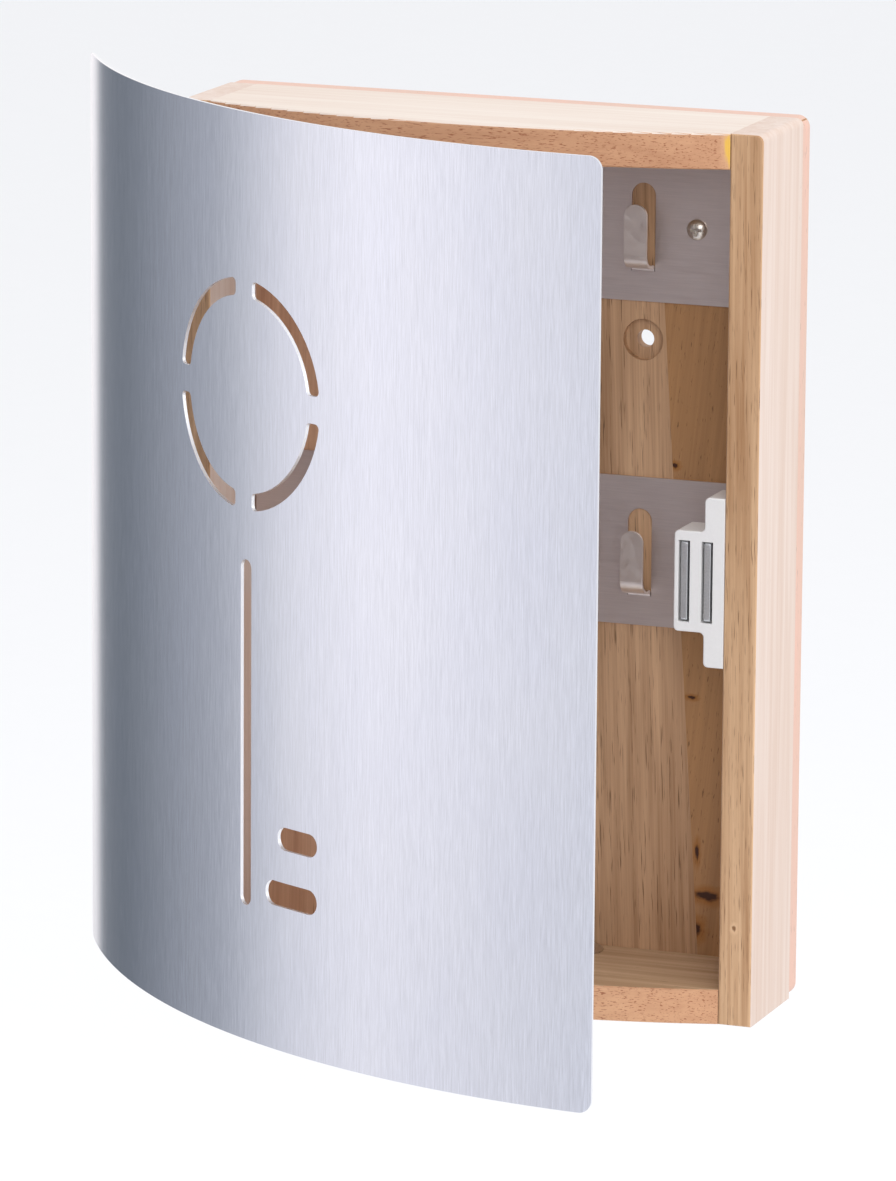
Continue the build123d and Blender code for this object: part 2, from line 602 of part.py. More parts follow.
# ---------------------------------------------------------------- magnetic catch
catch_back_y = front_y + CATCH_DEPTH
pole_front_y = front_y + POLE_RECESS
pole_places = {
    "inner_pole_plate": inner_half - INNER_POLE_X,
    "outer_pole_plate": inner_half - OUTER_POLE_X,
}
with BuildPart() as catch_housing:
    with BuildSketch(facing_front(inner_half, catch_back_y, CATCH_Z)):
        with Locations((-FLANGE_THICK / 2, 0)):
            Rectangle(FLANGE_THICK, FLANGE_HEIGHT)
        with Locations((-HOUSING_WIDTH / 2, 0)):
            Rectangle(HOUSING_WIDTH, HOUSING_HEIGHT)
    extrude(amount=CATCH_DEPTH)
    depth_edges = catch_housing.edges().filter_by(Axis.Y)
    free_edges = [e for e in depth_edges if e.center().X < inner_half - HOUSING_EASE]
    fillet(free_edges, radius=HOUSING_CORNER)
    front_edges = catch_housing.faces().sort_by(Axis.Y)[0].edges()
    inside_edges = [e for e in front_edges if e.center().X < inner_half - HOUSING_EASE / 2]
    fillet(inside_edges, radius=HOUSING_EASE)
    for pole_x in pole_places.values():
        with BuildSketch(facing_front(pole_x, front_y, CATCH_Z)):
            Rectangle(POLE_WINDOW, POLE_WINDOW_HEIGHT)
        extrude(amount=-POLE_DEPTH - POLE_RECESS, mode=Mode.SUBTRACT)
    with BuildSketch(facing_front(magnet_x, magnet_front_y, CATCH_Z)):
        Rectangle(INNER_POLE_X - OUTER_POLE_X, MAGNET_HEIGHT)
    extrude(amount=-MAGNET_DEPTH, mode=Mode.SUBTRACT)
    for end in (-1, 1):
        slot_plane = facing_left(
            inner_half - FLANGE_THICK, catch_screw_y, CATCH_Z + end * CATCH_SCREW_Z
        )
        with BuildSketch(slot_plane):
            SlotOverall(CATCH_SLOT_LENGTH, 2 * (CATCH_SCREW_RADIUS + CATCH_SLOT_PLAY))
        extrude(amount=-FLANGE_THICK, mode=Mode.SUBTRACT)
write(catch_housing, "catch_housing")

for name, pole_x in pole_places.items():
    with BuildPart() as pole_plate:
        with BuildSketch(facing_front(pole_x, pole_front_y + POLE_DEPTH, CATCH_Z)):
            Rectangle(POLE_THICK, POLE_HEIGHT)
        extrude(amount=POLE_DEPTH)
        fillet(pole_plate.edges().filter_by(Axis.X), radius=POLE_CORNER)
    write(pole_plate, name)

with BuildPart() as catch_magnet:
    magnet_width = INNER_POLE_X - OUTER_POLE_X - POLE_THICK
    with BuildSketch(facing_front(magnet_x, magnet_front_y + MAGNET_DEPTH, CATCH_Z)):
        Rectangle(magnet_width, MAGNET_HEIGHT)
    extrude(amount=MAGNET_DEPTH)
write(catch_magnet, "catch_magnet")

catch_screw = pan_head_screw(
    CATCH_SCREW_RADIUS, CATCH_SCREW_LENGTH, CATCH_SCREW_HEAD, CATCH_SCREW_HEAD_HEIGHT
)
with BuildPart() as catch_screws:
    for end in (-1, 1):
        screw_z = CATCH_Z + end * CATCH_SCREW_Z
        with Locations(facing_left(inner_half - FLANGE_THICK, catch_screw_y, screw_z)):
            add(catch_screw)
write(catch_screws, "catch_screws")

# ---------------------------------------------------------------- strike plate on the door
strike_face_y = front_y - STRIKE_GAP - arc_centre_y
with BuildPart() as strike_plate:
    with BuildSketch(door_plan.offset(CATCH_Z - STRIKE_HEIGHT / 2)):
        Circle(sheet_inner)
        with Locations((magnet_x, strike_face_y - sheet_inner / 2)):
            Rectangle(STRIKE_WIDTH, sheet_inner, mode=Mode.INTERSECT)
    extrude(amount=STRIKE_HEIGHT)
    with BuildSketch(door_plan.offset(CATCH_Z - STRIKE_HEIGHT / 2 + STRIKE_THICK)):
        with Locations((magnet_x, strike_face_y - STRIKE_THICK - sheet_inner / 2)):
            Rectangle(2 * STRIKE_WIDTH, sheet_inner)
    extrude(amount=STRIKE_HEIGHT - 2 * STRIKE_THICK, mode=Mode.SUBTRACT)
    for low in (CATCH_Z - STRIKE_HEIGHT / 2 - STRIKE_FOOT, CATCH_Z + STRIKE_HEIGHT / 2):
        with BuildSketch(door_plan.offset(low)):
            Circle(sheet_inner)
            Circle(sheet_inner - STRIKE_THICK, mode=Mode.SUBTRACT)
            with Locations((magnet_x, -sheet_inner)):
                Rectangle(STRIKE_WIDTH, sheet_inner, mode=Mode.INTERSECT)
        extrude(amount=STRIKE_FOOT)
write(strike_plate, "strike_plate")
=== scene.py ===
"""Finishes a wall-hung key cabinet, a wooden box with a bowed steel door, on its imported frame.

The file is laid out as an add-on and run as a script. Lengths are metres unless a
name ends in MM. The cabinet hangs with its back on the plane y = 0 and +Z up.
"""
import math

import bmesh
import bpy
import numpy as np
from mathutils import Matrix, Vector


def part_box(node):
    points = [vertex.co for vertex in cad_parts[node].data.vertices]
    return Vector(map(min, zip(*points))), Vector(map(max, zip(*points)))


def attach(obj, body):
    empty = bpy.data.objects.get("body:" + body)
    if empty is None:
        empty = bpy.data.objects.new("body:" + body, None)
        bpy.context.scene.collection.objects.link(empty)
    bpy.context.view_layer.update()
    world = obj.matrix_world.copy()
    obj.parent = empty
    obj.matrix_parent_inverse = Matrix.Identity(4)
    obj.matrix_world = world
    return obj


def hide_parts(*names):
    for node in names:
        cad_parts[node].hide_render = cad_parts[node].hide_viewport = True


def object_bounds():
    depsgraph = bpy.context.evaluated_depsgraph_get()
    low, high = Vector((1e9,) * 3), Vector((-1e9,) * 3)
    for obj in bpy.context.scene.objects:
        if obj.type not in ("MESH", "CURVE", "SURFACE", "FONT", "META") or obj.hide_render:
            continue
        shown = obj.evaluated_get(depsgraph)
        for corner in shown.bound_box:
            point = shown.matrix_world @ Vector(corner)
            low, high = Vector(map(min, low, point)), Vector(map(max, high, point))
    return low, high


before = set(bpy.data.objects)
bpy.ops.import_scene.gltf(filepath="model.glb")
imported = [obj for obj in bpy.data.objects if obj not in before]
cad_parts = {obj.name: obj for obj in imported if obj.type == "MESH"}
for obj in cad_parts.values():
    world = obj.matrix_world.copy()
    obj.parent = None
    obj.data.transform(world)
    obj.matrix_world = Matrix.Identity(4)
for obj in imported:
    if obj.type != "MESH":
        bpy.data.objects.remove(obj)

bl_info = {
    "name": "Key Cabinet",
    "version": (1, 0, 0),
    "blender": (4, 5, 0),
    "location": "3D View > Sidebar > Key Cabinet",
    "description": "Finished pieces, materials and stage for a wooden key cabinet with a steel door",
    "category": "Object",
}

MM = 0.001
CAD_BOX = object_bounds()
CABINET_BODY = "cabinet"
DOOR_BODY = "door"

ARRIS_TURN = math.radians(35)    # two faces that meet at more than this make a sharp edge
FACING = 0.5                     # least share of a face's direction that counts as facing an axis

# Patterns in the wood: width across the grain and length along it, in millimetres.
GROWTH_LINE = (3.2, 120.0)
FIBRE = (0.7, 45.0)
BROAD_TONE = (38.0, 190.0)

# Knots of the back panel: x, z, half width and half height, in millimetres.
STAVE_KNOTS = (
    (73.4, -117.4, 6.0, 2.6), (69.1, -129.2, 3.2, 3.6), (59.7, 30.0, 1.7, 1.3),
    (69.5, -102.5, 1.0, 4.0), (66.9, -49.0, 2.0, 0.9),
)
SIDE_FRONT_PIN_KNOT = (96.8, -116.5, 1.0, 1.5)
GLUE_BEAD = (91.0, 144.5, 1.8, 8.0)


# ---------------------------------------------------------------- colours and settings
def linear(hex_colour):
    """An sRGB hex colour as linear red, green and blue."""
    parts = [int(hex_colour[i : i + 2], 16) / 255 for i in (1, 3, 5)]
    return tuple(c / 12.92 if c <= 0.04045 else ((c + 0.055) / 1.055) ** 2.4 for c in parts)


def colour_property(name, description, hex_colour):
    """A colour that a user may change, from its hex value."""
    return bpy.props.FloatVectorProperty(
        name=name, description=description, default=linear(hex_colour), subtype="COLOR", size=3,
        min=0.0, max=1.0,
    )


def length_property(name, description, millimetres):
    """A length that a user may change, from its value in millimetres."""
    return bpy.props.FloatProperty(
        name=name, description=description, default=millimetres * MM, unit="LENGTH", min=0.0,
    )


class KeyCabinetWood(bpy.types.PropertyGroup):
    """Colours of the rubberwood, some of them paler as painted light, and how far its edges are eased.
    """

    # Painted light, in part: the outer side faces are a paler, greyer cream than the other faces of the
    # same wood, partly their own tone and partly standing in for strong light on them.
    face: colour_property("Face", "Planed outer faces of the side panels", "#DACAC0")
    face_streak: colour_property("Face streak", "Darker growth lines in those faces", "#CBB2A2")
    front: colour_property("Side front", "Front edges of the side panels", "#D7B28D")
    front_streak: colour_property("Side front streak", "Growth lines there", "#A27853")
    board: colour_property("Board face", "Flat faces of the top and bottom boards", "#D1B291")
    board_streak: colour_property("Board streak", "Growth lines in those faces", "#A07A57")
    # Painted light: a paler copy of the board wood for the top board's top face, standing in for strong
    # light from above.
    painted_top_light: colour_property("Board top painted light", "Top face of the top board, paler as painted light from above", "#DFD3C8")
    bow: colour_property("Bowed front", "Sawn and sanded bowed fronts of the boards", "#D0A07B")
    bow_fleck: colour_property("Bowed front fleck", "Short pores in the bowed fronts", "#8F5334")
    # Painted light, in part: the left stave is paler than the middle one partly for its own wood and
    # partly standing in for light that reaches it through the gap beside the door.
    pale: colour_property("Pale stave", "The left stave of the back panel", "#E6BB98")
    stave: colour_property("Stave", "The middle stave of the back panel", "#D0A883")
    stave_streak: colour_property("Stave streak", "Growth lines in the staves", "#87603F")
    knotty: colour_property("Knotty stave", "The stave with the wild figure", "#B98A5B")
    knot: colour_property("Knot", "Dark hearts of the knots", "#3E1D08")
    amber: colour_property("Knot rim", "Resin-stained wood round the knots", "#9A6227")
    glue: colour_property("Glue", "Squeezed-out glue beside the top right joint", "#DDB04C")
    edge: colour_property("Panel edge", "Outer edges of the back panel", "#DDB2A1")
    ease: length_property("Ease", "Softened arris of each sawn edge", 0.35)
    seam: length_property("Seam", "Softened arris along a glue line", 0.08)


class KeyCabinetSteel(bpy.types.PropertyGroup):
    """Colours of the metal pieces and their small edge radii."""

    door: colour_property("Door", "Brushed stainless door sheet", "#D6DAE6")
    rail: colour_property("Rail", "Brushed stainless hook rails", "#DCD0CA")
    # Painted light: the tongues are a touch lighter than the rail, standing in for the light they catch.
    tongue: colour_property("Tongue", "Bent hook tongues, a touch lighter than the rail as painted light", "#DDD2CB")
    screw: colour_property("Screw", "Nickel plated screws", "#D6CFC6")
    zinc: colour_property("Zinc", "Zinc plated hinges and strike plate", "#BFC4C8")
    # Painted light: the pole plates are a paler copy of the zinc colour, standing in for the light and
    # highlights they catch.
    pole: colour_property("Pole", "Sheared ends of the catch's pole plates, paler than the zinc as painted light", "#E6E8EA")
    # Painted highlight, in part: the cut walls are brighter than the sheet so each cut-out shows a thin
    # bright line; their rougher finish is the real cut.
    cut: colour_property("Cut edge", "Laser-cut edges of the door sheet", "#F0F1F5")
    sheet_edge: length_property("Sheet edge", "Edge radius of the door's cut edges", 0.3)
    rail_edge: length_property("Rail edge", "Edge radius of the punched rails", 0.18)
    screw_edge: length_property("Screw edge", "Edge radius of a screw head", 0.1)
    brush: length_property("Brush line", "Width of one brush line on the door", 0.28)


class KeyCabinetCatch(bpy.types.PropertyGroup):
    """Colour and edge of the magnetic catch."""

    plastic: colour_property("Plastic", "White moulded housing", "#E8E6E5")
    ferrite: colour_property("Ferrite", "Magnet between the poles", "#2A2A2C")
    edge: length_property("Edge", "Moulded edge radius", 0.35)


class KeyCabinetStage(bpy.types.PropertyGroup):
    """Floor, lights and camera."""

    floor: colour_property("Floor", "Pale seamless floor", "#F6F6F7")
    floor_drop: length_property("Floor drop", "From the cabinet's lowest point to the floor", 300.0)
    ambient: bpy.props.FloatProperty(
        name="Ambient", description="Strength of the soft light from all round", default=0.98, min=0.0,
    )
    key_power: bpy.props.FloatProperty(
        name="Key light", description="Power of the soft light on the right in watts", default=8.5,
        min=0.0,
    )
    top_power: bpy.props.FloatProperty(
        name="Top light", description="Power of the soft light above in watts", default=9.0, min=0.0,
    )
    front_power: bpy.props.FloatProperty(
        name="Front light", description="Power of the soft light beside the camera in watts",
        default=11.0, min=0.0,
    )
    screen_strength: bpy.props.FloatProperty(
        name="Graded screen", description="Strength of the graded screen that the door reflects",
        default=1.0, min=0.0,
    )
    lens: bpy.props.FloatProperty(
        name="Lens", description="Focal length for a 36 mm long side", default=239.8, unit="CAMERA",
        min=1.0,
    )


GROUPS = {
    "key_cabinet_wood": KeyCabinetWood,
    "key_cabinet_steel": KeyCabinetSteel,
    "key_cabinet_catch": KeyCabinetCatch,
    "key_cabinet_stage": KeyCabinetStage,
}


# ---------------------------------------------------------------- material building
def fill_inputs(tree, node, inputs):
    """Set a node's inputs by name: link the values that are sockets and write the others."""
    for name, value in inputs.items():
        if isinstance(value, bpy.types.NodeSocket):
            tree.links.new(value, node.inputs[name])
        else:
            node.inputs[name].default_value = value


def add_node(tree, kind, inputs=None, stops=None, **settings):
    """Add one node: its settings, its inputs as values or as sockets to link, and its ramp's stops."""
    node = tree.nodes.new(kind)
    for name, value in settings.items():
        setattr(node, name, value)
    if stops:
        elements = node.color_ramp.elements
        while len(elements) < len(stops):
            elements.new(0.5)
        for element, (position, shade) in zip(elements, stops):
            element.position = position
            element.color = (*shade, 1.0)
    fill_inputs(tree, node, inputs or {})
    return node


def grey(level):
    """A neutral ramp colour."""
    return (level, level, level)


def empty_material(name):
    """A node material with nothing in it, and its tree."""
    material = bpy.data.materials.new(name)
    material.use_nodes = True
    tree = material.node_tree
    tree.nodes.clear()
    return material, tree


def new_material(name):
    """A node material, its tree and its shader, joined to the output."""
    material, tree = empty_material(name)
    shader = add_node(tree, "ShaderNodeBsdfPrincipled")
    add_node(tree, "ShaderNodeOutputMaterial", {"Surface": shader.outputs[0]})
    return material, tree, shader


def grain_scale(grain, across_mm, along_mm):
    """Scale of a pattern that is drawn out along one axis, from its real size."""
    across, along = 1 / (across_mm * MM), 1 / (along_mm * MM)
    return tuple(along if axis == grain else across for axis in "XYZ")


def planed_wood(name, light, dark, grain="Z", fleck=None, fleck_size=(0.55, 5.0), fleck_level=0.66,
                streak=0.55, seed=0.0, lean=0.0, knots=(), knot=None, rim=None):
    """Planed and clear-sealed rubberwood: drawn-out growth lines, fine fibre and open pores, low sheen.

    Growth lines are noise about 3 mm wide and 120 mm long, with finer fibre between
    them and a slow change of tone over the whole piece. Each knot is (x, z, half
    width, half height) in millimetres, with a heart of the colour knot and an edge of
    the colour rim that fades into the wood. The real pores are about 0.2 mm wide and
    would not show, so they are drawn two or three times as wide.
    """
    material, tree, shader = new_material(name)
    object_place = add_node(tree, "ShaderNodeTexCoord").outputs["Object"]
    place = add_node(tree, "ShaderNodeMapping", {
        "Vector": object_place, "Location": (seed * 0.11, seed * 0.07, seed * 0.13),
        "Rotation": (0.0, math.radians(lean), 0.0),
    }).outputs[0]

    def drawn_out(across_mm, along_mm, detail, distortion=0.0):
        stretched = add_node(tree, "ShaderNodeMapping", {
            "Vector": place, "Scale": grain_scale(grain, across_mm, along_mm),
        }).outputs[0]
        return add_node(tree, "ShaderNodeTexNoise", {
            "Vector": stretched, "Scale": 1.0, "Detail": detail, "Roughness": 0.55,
            "Distortion": distortion,
        }).outputs[0]

    def dark_where(pattern, start, full, level=1.0):
        return add_node(tree, "ShaderNodeValToRGB", {"Fac": pattern},
                        stops=((start, grey(0.0)), (full, grey(level)))).outputs[0]

    growth = dark_where(drawn_out(*GROWTH_LINE, 3.0, 0.25), 0.34, 0.68)
    fine = dark_where(drawn_out(*FIBRE, 3.0), 0.38, 0.7)
    broad = dark_where(drawn_out(*BROAD_TONE, 1.5), 0.35, 0.65)
    pores = dark_where(drawn_out(*fleck_size, 2.0), fleck_level, fleck_level + 0.07, 0.85)
    tone = add_node(tree, "ShaderNodeMath", {0: growth, 1: 0.62}, operation="MULTIPLY")
    tone = add_node(tree, "ShaderNodeMath", {0: fine, 1: 0.38, 2: tone.outputs[0]},
                    operation="MULTIPLY_ADD")
    tone = add_node(tree, "ShaderNodeMath", {0: tone.outputs[0], 1: streak}, operation="MULTIPLY")
    tone = add_node(tree, "ShaderNodeMath", {0: broad, 1: 0.3, 2: tone.outputs[0]},
                    operation="MULTIPLY_ADD", use_clamp=True).outputs[0]
    colour = add_node(tree, "ShaderNodeMix", {"Factor": tone, "A": (*light, 1.0), "B": (*dark, 1.0)},
                      data_type="RGBA").outputs["Result"]
    pore_dark = fleck or tuple(c * 0.55 for c in dark)
    colour = add_node(tree, "ShaderNodeMix", {"Factor": pores, "A": colour, "B": (*pore_dark, 1.0)},
                      data_type="RGBA").outputs["Result"]
    for x, z, half_wide, half_high in knots:
        centred = add_node(tree, "ShaderNodeMapping", {
            "Vector": object_place, "Location": (-x / half_wide, 0.0, -z / half_high),
            "Scale": (1 / (half_wide * MM), 0.0, 1 / (half_high * MM)),
        }).outputs[0]
        wavy = add_node(tree, "ShaderNodeTexNoise",
                        {"Vector": centred, "Scale": 1.3, "Detail": 3.0}).outputs[0]
        # How far a point is from the knot's middle, made uneven by the noise.
        reach = add_node(tree, "ShaderNodeVectorMath", {0: centred}, operation="LENGTH").outputs["Value"]
        reach = add_node(tree, "ShaderNodeMath", {0: wavy, 1: 1.2, 2: reach},
                         operation="MULTIPLY_ADD").outputs[0]
        reach = add_node(tree, "ShaderNodeMath", {0: reach, 1: 0.4}, operation="MULTIPLY").outputs[0]
        stain = add_node(tree, "ShaderNodeValToRGB", {"Fac": reach},
                         stops=((0.42, knot), (0.58, rim))).outputs[0]
        spot = add_node(tree, "ShaderNodeValToRGB", {"Fac": reach},
                        stops=((0.45, grey(1.0)), (0.66, grey(0.6)), (0.95, grey(0.0)))).outputs[0]
        colour = add_node(tree, "ShaderNodeMix", {"Factor": spot, "A": colour, "B": stain},
                          data_type="RGBA").outputs["Result"]
    rough = add_node(tree, "ShaderNodeMapRange", {"Value": tone, "To Min": 0.5, "To Max": 0.62})
    relief = add_node(tree, "ShaderNodeMath", {0: pores, 1: -0.8, 2: fine}, operation="MULTIPLY_ADD")
    bump = add_node(tree, "ShaderNodeBump", {
        "Height": relief.outputs[0], "Strength": 0.25, "Distance": 0.06 * MM,
    })
    fill_inputs(tree, shader, {
        "Base Color": colour, "Roughness": rough.outputs[0], "Normal": bump.outputs[0], "IOR": 1.5,
        "Specular IOR Level": 0.35,
    })
    return material


def brushed_stainless(name, colour, brush="Z", line=0.45 * MM, roughness=0.3, contrast=0.22):
    """Belt-brushed stainless sheet: long fine lines that streak its colour and soften what it mirrors.

    Real belt lines are about 0.1 mm wide and would not show, so line is two or three
    times that.
    """
    material, tree, shader = new_material(name)
    place = add_node(tree, "ShaderNodeTexCoord").outputs["Object"]
    line_mm = line / MM

    def lines(across_mm, along_mm, detail):
        stretched = add_node(tree, "ShaderNodeMapping", {
            "Vector": place, "Scale": grain_scale(brush, across_mm, along_mm),
        }).outputs[0]
        return add_node(tree, "ShaderNodeTexNoise", {
            "Vector": stretched, "Scale": 1.0, "Detail": detail, "Roughness": 0.6,
        }).outputs[0]

    fine = lines(line_mm, line_mm * 32, 2.0)
    coarse = lines(line_mm * 4, line_mm * 160, 2.0)
    cloud = lines(30.0, 60.0, 2.0)
    streaks = add_node(tree, "ShaderNodeMath", {0: coarse, 1: 0.3, 2: fine}, operation="MULTIPLY_ADD")
    shade = add_node(tree, "ShaderNodeMapRange", {
        "Value": streaks.outputs[0], "From Min": 0.4, "From Max": 0.9,
        "To Min": 1.0 - contrast, "To Max": 1.0 + contrast * 0.35,
    }).outputs[0]
    tint = add_node(tree, "ShaderNodeMix", {
        "Factor": cloud, "A": (*colour, 1.0), "B": (colour[0] * 0.95, colour[1] * 0.96, colour[2], 1.0),
    }, data_type="RGBA").outputs["Result"]
    shaded = add_node(tree, "ShaderNodeVectorMath", {0: tint, "Scale": shade}, operation="SCALE")
    rough = add_node(tree, "ShaderNodeMapRange", {
        "Value": fine, "From Min": 0.3, "From Max": 0.7,
        "To Min": roughness - 0.03, "To Max": roughness + 0.05,
    })
    bump = add_node(tree, "ShaderNodeBump", {"Height": fine, "Strength": 0.1, "Distance": 0.005 * MM})
    fill_inputs(tree, shader, {
        "Base Color": shaded.outputs[0], "Roughness": rough.outputs[0], "Normal": bump.outputs[0],
        "Metallic": 1.0,
    })
    return material


def plated_metal(name, colour, roughness, mottle_mm=1.2, wear=0.12):
    """Plated steel: a bright skin with a faint mottle of handling marks in its gloss."""
    material, tree, shader = new_material(name)
    place = add_node(tree, "ShaderNodeTexCoord").outputs["Object"]
    mottle = add_node(tree, "ShaderNodeTexNoise", {
        "Vector": place, "Scale": 1 / (mottle_mm * MM), "Detail": 3.0, "Roughness": 0.6,
    }).outputs[0]
    worn = tuple(c * (1 - wear) for c in colour)
    skin = add_node(tree, "ShaderNodeMix", {"Factor": mottle, "A": (*colour, 1.0), "B": (*worn, 1.0)},
                    data_type="RGBA").outputs["Result"]
    rough = add_node(tree, "ShaderNodeMapRange", {
        "Value": mottle, "From Min": 0.3, "From Max": 0.7,
        "To Min": roughness - 0.06, "To Max": roughness + 0.08,
    })
    bump = add_node(tree, "ShaderNodeBump", {"Height": mottle, "Strength": 0.15, "Distance": 0.02 * MM})
    fill_inputs(tree, shader, {
        "Base Color": skin, "Roughness": rough.outputs[0], "Normal": bump.outputs[0], "Metallic": 1.0,
    })
    return material


def moulded_plastic(name, colour, roughness=0.3, ripple_mm=14.0):
    """Injection-moulded plastic: a satin skin with slow ripples and a trace of handling dust."""
    material, tree, shader = new_material(name)
    place = add_node(tree, "ShaderNodeTexCoord").outputs["Object"]
    ripple = add_node(tree, "ShaderNodeTexNoise", {
        "Vector": place, "Scale": 1 / (ripple_mm * MM), "Detail": 2.0,
    }).outputs[0]
    dust = add_node(tree, "ShaderNodeTexNoise", {
        "Vector": place, "Scale": 1 / (0.9 * MM), "Detail": 2.0,
    }).outputs[0]
    dull = tuple(c * 0.94 for c in colour)
    skin = add_node(tree, "ShaderNodeMix", {"Factor": dust, "A": (*colour, 1.0), "B": (*dull, 1.0)},
                    data_type="RGBA").outputs["Result"]
    rough = add_node(tree, "ShaderNodeMapRange", {
        "Value": dust, "To Min": roughness - 0.05, "To Max": roughness + 0.1,
    })
    bump = add_node(tree, "ShaderNodeBump", {"Height": ripple, "Strength": 0.3, "Distance": 0.05 * MM})
    fill_inputs(tree, shader, {
        "Base Color": skin, "Roughness": rough.outputs[0], "Normal": bump.outputs[0], "IOR": 1.5,
    })
    return material


# ---------------------------------------------------------------- geometry building
def merged_copy(name):
    """A CAD node's surface as one joined mesh: doubles merged and flat triangles joined."""
    joined = bmesh.new()
    joined.from_mesh(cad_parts[name].data)
    bmesh.ops.remove_doubles(joined, verts=joined.verts, dist=0.002 * MM)
    bmesh.ops.dissolve_limit(joined, angle_limit=math.radians(0.3), verts=joined.verts,
                             edges=joined.edges)
    bmesh.ops.recalc_face_normals(joined, faces=joined.faces)
    return joined


def new_object(name, data):
    """An object in the scene that holds a mesh, a light or a camera."""
    made = bpy.data.objects.new(name, data)
    bpy.context.scene.collection.objects.link(made)
    return made


def refinish(node, material):
    """Give a CAD node a finish and leave its mesh as it is."""
    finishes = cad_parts[node].data.materials
    finishes.clear()
    finishes.append(material)


def finished_piece(node, body, materials, edge=None, joined=None, finish_of=None, segments=2,
                   shade_of=None):
    """Make the object that stands for a CAD node, with softened edges and smooth shading.

    Its mesh is joined, or else a merged copy of the node. Large faces keep their own
    shading direction and edges softened to the width edge turn from one to the next.
    Where shade_of is given, it works out the direction at every point instead, and
    the mesh comes with its edges softened. finish_of picks each face's material.
    """
    if joined is None:
        joined = merged_copy(node)
    name = f"finished_{node}"
    mesh = bpy.data.meshes.new(name)
    joined.to_mesh(mesh)
    joined.free()
    piece = new_object(name, mesh)
    for material in materials:
        mesh.materials.append(material)
    mesh.polygons.foreach_set("use_smooth", np.ones(len(mesh.polygons), dtype=bool))
    if finish_of is not None:
        normals = np.empty(3 * len(mesh.polygons))
        mesh.polygons.foreach_get("normal", normals)
        centres = np.empty(3 * len(mesh.polygons))
        mesh.polygons.foreach_get("center", centres)
        chosen = finish_of(normals.reshape(-1, 3), centres.reshape(-1, 3))
        mesh.polygons.foreach_set("material_index", chosen.astype(np.int32))
    if shade_of is None:
        bevel = piece.modifiers.new("Softened edges", "BEVEL")
        bevel.width = edge
        bevel.segments = segments
        bevel.limit_method = "ANGLE"
        bevel.angle_limit = ARRIS_TURN
        bevel.miter_outer = "MITER_ARC"
        weighted = piece.modifiers.new("Flat faces stay flat", "WEIGHTED_NORMAL")
        weighted.mode = "FACE_AREA"
        weighted.weight = 100
    else:
        mesh.normals_split_custom_set_from_vertices(shade_of(mesh))
    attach(piece, body)
    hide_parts(node)
    return piece


def arc_in_plan(points):
    """Centre and radius of the circle nearest to points: least squares of x2 + y2 = 2ax + 2by + c."""
    columns = np.column_stack((2 * points, np.ones(len(points))))
    squares = (points**2).sum(axis=1)
    a, b, c = np.linalg.lstsq(columns, squares, rcond=None)[0]
    return np.array((a, b)), math.sqrt(c + a * a + b * b)


def slice_round_axis(joined, centre, angles):
    """Cut a mesh along planes that hold the vertical axis through centre, one for each angle."""
    for angle in angles:
        bmesh.ops.bisect_plane(
            joined, geom=joined.verts[:] + joined.edges[:] + joined.faces[:], dist=0.001 * MM,
            plane_co=(*centre, 0.0), plane_no=(math.cos(angle), math.sin(angle), 0.0),
        )


def rolled_sheet():
    """The door's sheet with its faces brought onto true arcs.

    The arc's axis is the centre of the circle through the sheet's corner points. The
    sheet is cut every degree round that axis, and each point of its two faces moves
    along its radius to the nearer of the two arcs, so point = centre + radius * direction.
    """
    joined = merged_copy("door_sheet")
    points = np.array([v.co for v in joined.verts])
    centre, middle = arc_in_plan(points[:, :2])
    distance = np.linalg.norm(points[:, :2] - centre, axis=1)
    centre, outer = arc_in_plan(points[distance > middle, :2])
    distance = np.linalg.norm(points[:, :2] - centre, axis=1)
    inner = np.median(distance[distance < (distance.min() + outer) / 2])
    turn = np.arctan2(points[:, 1] - centre[1], points[:, 0] - centre[0])
    planes = np.arange(turn.min(), turn.max(), math.radians(1.0))[1:] + math.pi / 2
    slice_round_axis(joined, centre, planes)
    points = np.array([v.co for v in joined.verts])
    offset = points[:, :2] - centre
    distance = np.linalg.norm(offset, axis=1)
    wanted = np.where(distance > (inner + outer) / 2, outer, inner)
    points[:, :2] = centre + offset * (wanted / distance)[:, None]
    for vertex, point in zip(joined.verts, points):
        vertex.co = point
    return joined, centre


def soften_sharp_edges(joined, width):
    """Round every sharp edge in two steps."""
    joined.normal_update()
    sharp = [e for e in joined.edges if e.calc_face_angle(0.0) > ARRIS_TURN]
    bmesh.ops.bevel(joined, geom=sharp, offset=width, offset_type="OFFSET", segments=2, profile=0.5,
                    affect="EDGES", clamp_overlap=True, miter_outer="ARC")


def off_sheet(normals, centres, centre):
    """True for each face of the rolled sheet that is a cut wall or a softened edge."""
    radial = centres[:, :2] - centre
    radial /= np.linalg.norm(radial, axis=1)[:, None]
    return np.abs((normals[:, :2] * radial).sum(axis=1)) < 0.95


